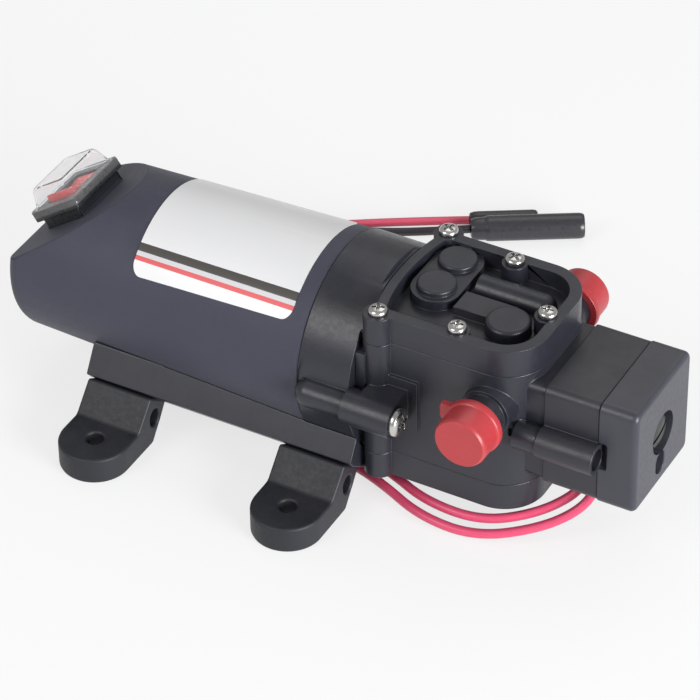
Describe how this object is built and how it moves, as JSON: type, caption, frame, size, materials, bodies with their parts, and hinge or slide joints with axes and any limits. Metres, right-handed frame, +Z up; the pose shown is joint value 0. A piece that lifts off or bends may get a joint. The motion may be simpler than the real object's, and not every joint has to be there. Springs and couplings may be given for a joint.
{
  "type": "diaphragm water pump",
  "caption": "Low-voltage diaphragm water pump: sleeved motor with rocker switch, square pump head, capped side ports, pressure switch, rubber feet and wires.",
  "frame": {"origin": "centre of the four foot holes, on the plane that the feet stand on", "axes": "+X along the motor's axis from the motor to the pressure switch, +Z up from the mounting surface, near port on the -Y side"},
  "size_m": [0.1709, 0.1534, 0.0593],
  "materials": {
    "sleeve_rubber": "matt, faint sheen",
    "can_steel": "satin",
    "head_plastic": "matt black nylon",
    "switch_plastic": "matt dark grey",
    "switch_cap_plastic": "satin dark grey",
    "foot_rubber": "matt",
    "grommet_rubber": "matt",
    "pump_rubber": "matt",
    "inner_plastic": "matt",
    "screw_steel": "bright zinc",
    "shaft_steel": "ground",
    "spring_steel": "bright",
    "dark_screw": "blackened",
    "copper": "enamelled copper",
    "brass": "plain",
    "ferrite": "matt",
    "carbon": "matt",
    "cap_red": "soft red vinyl",
    "bezel_black": "satin",
    "rocker_red": "glossy red",
    "boot_clear": "clear, softly glossy",
    "label_film": "white printed film",
    "wire_crimson": "satin insulation",
    "lead_red": "satin insulation",
    "lead_black": "satin insulation",
    "connector_black": "soft satin"
  },
  "bodies": {
    "pump": {"base_bracket": "head_plastic", "bottom_cover": "head_plastic", "brush_bell": "inner_plastic", "brush_holders": "brass", "brushes": "carbon", "cover_screws_bottom": "screw_steel", "cover_screws_top": "screw_steel", "diaphragm_bottom": "pump_rubber", "diaphragm_top": "pump_rubber", "drive_collar": "head_plastic", "foot_front_far": "foot_rubber", "foot_front_near": "foot_rubber", "foot_rear_far": "foot_rubber", "foot_rear_near": "foot_rubber", "front_bearing": "shaft_steel", "housing_bearing": "shaft_steel", "inlet_valves": "pump_rubber", "label": "label_film", "lead_connector": "connector_black", "lead_grommet": "grommet_rubber", "lead_wire_black": "lead_black", "lead_wire_red": "lead_red", "magnets": "ferrite", "middle_housing": "head_plastic", "motor_bolts": "screw_steel", "motor_can": "can_steel", "motor_sleeve": "sleeve_rubber", "outlet_valves": "pump_rubber", "pressure_switch_body": "switch_plastic", "pressure_switch_cap": "switch_cap_plastic", "rear_bearing": "shaft_steel", "rocker_blades": "brass", "rocker_boot": "boot_clear", "rocker_frame": "bezel_black", "switch_contacts": "bezel_black", "switch_diaphragm": "pump_rubber", "switch_grommet": "grommet_rubber", "switch_screws": "screw_steel", "switch_spring": "spring_steel", "switch_wire_a": "wire_crimson", "switch_wire_b": "wire_crimson", "top_cover": "head_plastic", "valve_plate_bottom": "inner_plastic", "valve_plate_top": "inner_plastic"},
    "rotor": {"motor_shaft": "shaft_steel", "armature_stack": "shaft_steel", "armature_windings": "copper", "commutator": "copper", "drive_eccentric": "shaft_steel"},
    "yoke": {"yoke": "inner_plastic", "yoke_bearing": "shaft_steel", "diaphragm_clamp_top": "screw_steel", "diaphragm_clamp_bottom": "screw_steel", "clamp_screws": "screw_steel"},
    "rocker": {"rocker_button": "rocker_red"},
    "cap_near": {"port_cap_near": "cap_red"},
    "cap_far": {"port_cap_far": "cap_red"},
    "plunger": {"switch_plunger": "inner_plastic"},
    "adjuster": {"adjusting_screw": "dark_screw"}
  },
  "joints": [
    {"name": "rotor_spin", "type": "hinge", "parent": "pump", "child": "rotor", "pos_m": [0, 0, 0.0335], "axis": [1, 0, 0], "continuous": true, "deforming": ["diaphragm_top", "diaphragm_bottom"]},
    {"name": "yoke_swing", "type": "hinge", "parent": "rotor", "child": "yoke", "pos_m": [0.054, 0.00125, 0.0335], "axis": [1, 0, 0], "continuous": true},
    {"name": "rocker_toggle", "type": "hinge", "parent": "pump", "child": "rocker", "pos_m": [-0.0532, 0, 0.0482], "axis": [0.8192, 0, 0.5736], "range_deg": [0, 20]},
    {"name": "cap_near_pull", "type": "slide", "parent": "pump", "child": "cap_near", "axis": [0, -1, 0], "range_m": [0, 0.012]},
    {"name": "cap_far_pull", "type": "slide", "parent": "pump", "child": "cap_far", "axis": [0, 1, 0], "range_m": [0, 0.012]},
    {"name": "plunger_press", "type": "slide", "parent": "pump", "child": "plunger", "axis": [1, 0, 0], "range_m": [0, 0.001], "stiffness_N_per_m": 2000, "deforming": ["switch_spring", "switch_diaphragm"]},
    {"name": "adjust_turn", "type": "hinge", "parent": "pump", "child": "adjuster", "pos_m": [0.104, 0, 0.0335], "axis": [1, 0, 0], "range_deg": [-180, 180]}
  ],
  "couplings": [
    {"joint": "yoke_swing", "follows": "rotor_spin", "ratio": -1}
  ]
}
